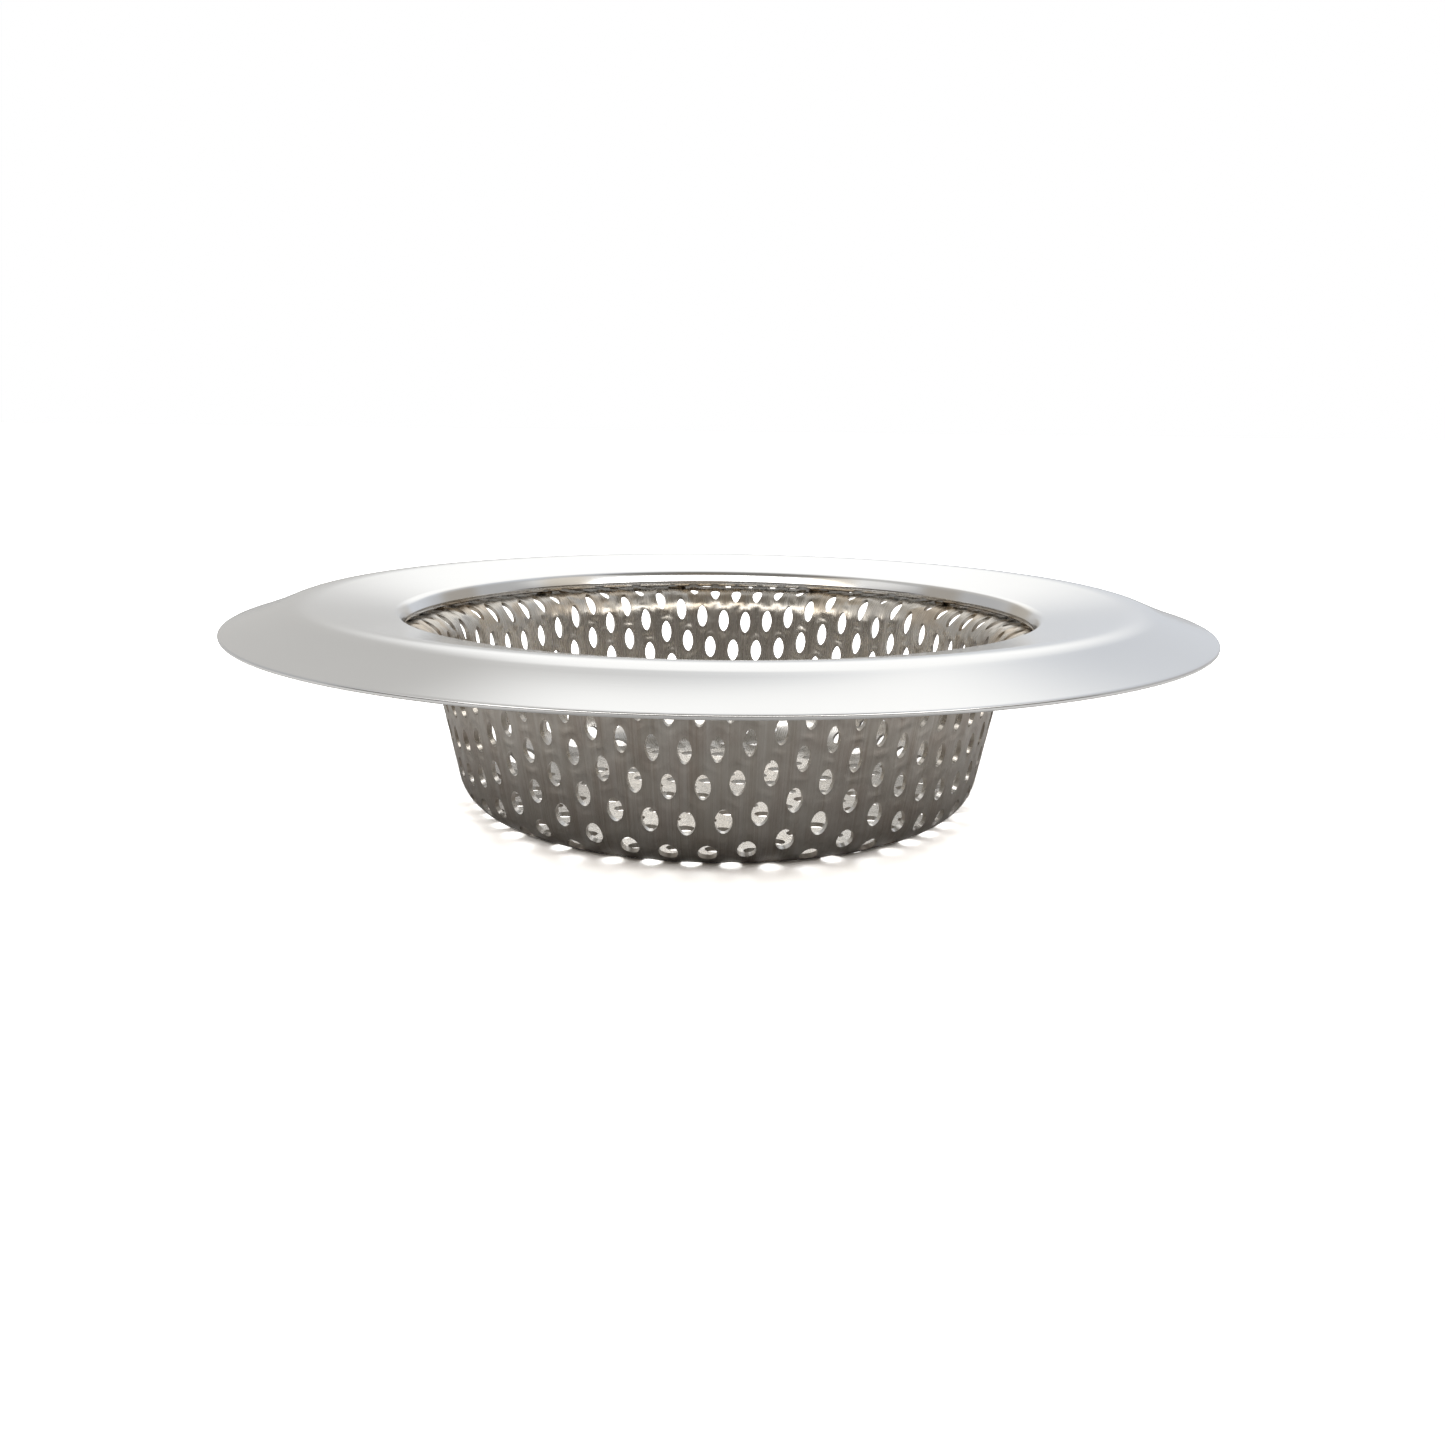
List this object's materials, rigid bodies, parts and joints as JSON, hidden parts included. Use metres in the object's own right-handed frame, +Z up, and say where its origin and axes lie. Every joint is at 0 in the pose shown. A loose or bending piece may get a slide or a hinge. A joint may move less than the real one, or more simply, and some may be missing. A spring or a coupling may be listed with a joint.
{
  "type": "basket strainer",
  "caption": "Round drop-in sink strainer: a wide arched polished-steel rim spot welded over a shallow, tapered, perforated steel basket.",
  "frame": {"origin": "centre of the flat underside of the basket, where it stands", "axes": "+Z up along the axis of the basket, from its bottom to the rim; -Y towards the viewer"},
  "size_m": [0.114, 0.114, 0.025],
  "materials": {
    "satin_polished_steel": "satin polished",
    "perforated_steel": "as drawn, matt with fine draw lines",
    "weld_metal": "heat tinted"
  },
  "bodies": {
    "root": {"rim": "satin_polished_steel", "basket": "perforated_steel", "spot_weld_01": "weld_metal", "spot_weld_02": "weld_metal", "spot_weld_03": "weld_metal", "spot_weld_04": "weld_metal", "spot_weld_05": "weld_metal", "spot_weld_06": "weld_metal", "spot_weld_07": "weld_metal", "spot_weld_08": "weld_metal", "spot_weld_09": "weld_metal", "spot_weld_10": "weld_metal", "spot_weld_11": "weld_metal", "spot_weld_12": "weld_metal"}
  },
  "joints": []
}
